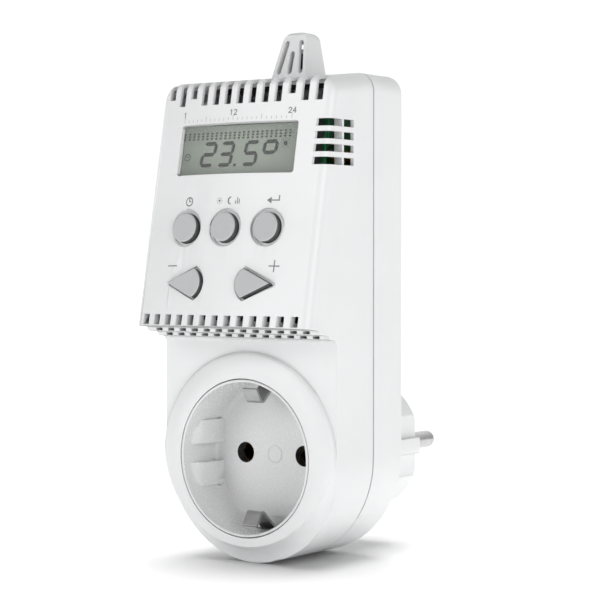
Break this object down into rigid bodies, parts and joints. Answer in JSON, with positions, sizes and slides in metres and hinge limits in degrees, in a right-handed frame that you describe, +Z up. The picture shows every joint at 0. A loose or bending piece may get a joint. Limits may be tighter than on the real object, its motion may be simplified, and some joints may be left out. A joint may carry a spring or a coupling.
{
  "type": "plug-in programmable thermostat timer",
  "caption": "White plug-in heating controller with a sloping panel, display, round and arrow keys, a socket in front, a plug behind and a vented sensor cap.",
  "frame": {"origin": "centre of the plug's end face, midway between the two pins", "axes": "+Y out of the plug along its pins, into the wall outlet; +Z up; +X to the right seen from the front"},
  "size_m": [0.055, 0.0893, 0.1397],
  "materials": {
    "casing_white": "white moulded casing, fine satin gloss",
    "insert_white": "white moulded socket insert, glossy",
    "key_grey": "mid-grey moulded keys",
    "nickel": "nickel-plated, satin",
    "spring_steel": "bent spring strip, bright",
    "brass": "stamped strip",
    "window_clear": "clear display window",
    "lcd_cell": "green-grey liquid crystal cell",
    "frame_black": "black moulding",
    "board_green": "circuit board with solder mask",
    "chip_black": "moulded package",
    "can_steel": "drawn can",
    "elastomer": "striped connector strip",
    "capacitor_yellow": "moulded capacitor case",
    "sleeve_blue": "shrink sleeve or dipped coat",
    "coil_copper": "enamelled winding",
    "relay_case": "moulded relay case",
    "fuse_glass": "glass tube with end caps",
    "lead_brown": "insulated lead",
    "lead_blue": "insulated lead",
    "ribbon_grey": "flat cable",
    "screw_zinc": "zinc-plated screw"
  },
  "bodies": {
    "casing": {"backup_battery": "can_steel", "battery_holder": "frame_black", "board_screws": "screw_zinc", "case_screws": "screw_zinc", "crystal": "can_steel", "display_board": "board_green", "display_window": "window_clear", "earth_strap": "brass", "elastomer_strips": "elastomer", "front_housing": "casing_white", "fuse": "fuse_glass", "lcd_frame": "frame_black", "lcd_glass": "lcd_cell", "live_lead": "lead_brown", "load_lead": "lead_brown", "mains_capacitor": "capacitor_yellow", "microcontroller": "chip_black", "neutral_lead": "lead_blue", "plug_body": "casing_white", "plug_earth_lower": "nickel", "plug_earth_upper": "nickel", "plug_pin_left": "nickel", "plug_pin_right": "nickel", "power_board": "board_green", "rear_housing": "casing_white", "rectifier": "chip_black", "relay_base": "chip_black", "relay_coil": "coil_copper", "relay_contact": "brass", "relay_cover": "relay_case", "relay_yoke": "can_steel", "resistors": "capacitor_yellow", "return_lead": "lead_blue", "ribbon_cable": "ribbon_grey", "sensor_cap_front": "casing_white", "sensor_cap_rear": "casing_white", "smoothing_capacitor": "sleeve_blue", "socket_contact_left": "brass", "socket_contact_right": "brass", "socket_insert": "insert_white", "switch_bodies": "chip_black", "thermistor": "chip_black", "thermistor_leads": "can_steel", "varistor": "sleeve_blue"},
    "key_function_body": {"key_function": "key_grey", "plunger_function": "chip_black"},
    "key_mode_body": {"key_mode": "key_grey", "plunger_mode": "chip_black"},
    "key_enter_body": {"key_enter": "key_grey", "plunger_enter": "chip_black"},
    "key_minus_body": {"key_minus": "key_grey", "plunger_minus": "chip_black"},
    "key_plus_body": {"key_plus": "key_grey", "plunger_plus": "chip_black"},
    "relay_armature": {"relay_lever": "can_steel"},
    "upper_clip": {"earth_clip_upper": "spring_steel"},
    "lower_clip": {"earth_clip_lower": "spring_steel"}
  },
  "joints": [
    {"name": "function_press", "type": "slide", "parent": "casing", "child": "key_function_body", "axis": [0, 0.982, -0.189], "range_m": [0, 0.0005], "stiffness_N_per_m": 1500, "springref_m": -0.0003},
    {"name": "mode_press", "type": "slide", "parent": "casing", "child": "key_mode_body", "axis": [0, 0.982, -0.189], "range_m": [0, 0.0005], "stiffness_N_per_m": 1500, "springref_m": -0.0003},
    {"name": "enter_press", "type": "slide", "parent": "casing", "child": "key_enter_body", "axis": [0, 0.982, -0.189], "range_m": [0, 0.0005], "stiffness_N_per_m": 1500, "springref_m": -0.0003},
    {"name": "minus_press", "type": "slide", "parent": "casing", "child": "key_minus_body", "axis": [0, 0.982, -0.189], "range_m": [0, 0.0005], "stiffness_N_per_m": 1500, "springref_m": -0.0003},
    {"name": "plus_press", "type": "slide", "parent": "casing", "child": "key_plus_body", "axis": [0, 0.982, -0.189], "range_m": [0, 0.0005], "stiffness_N_per_m": 1500, "springref_m": -0.0003},
    {"name": "relay_pull", "type": "hinge", "parent": "casing", "child": "relay_armature", "pos_m": [-0.013, -0.045, 0.0571], "axis": [1, 0, 0], "range_deg": [0, 2.6], "stiffness_Nm_per_rad": 0.02, "springref_deg": -2.86},
    {"name": "upper_clip_flex", "type": "hinge", "parent": "casing", "child": "upper_clip", "pos_m": [0, -0.0455, 0.0215], "axis": [-1, 0, 0], "range_deg": [0, 3], "stiffness_Nm_per_rad": 0.2, "springref_deg": -2.86},
    {"name": "lower_clip_flex", "type": "hinge", "parent": "casing", "child": "lower_clip", "pos_m": [0, -0.0455, -0.0215], "axis": [1, 0, 0], "range_deg": [0, 3], "stiffness_Nm_per_rad": 0.2, "springref_deg": -2.86}
  ]
}
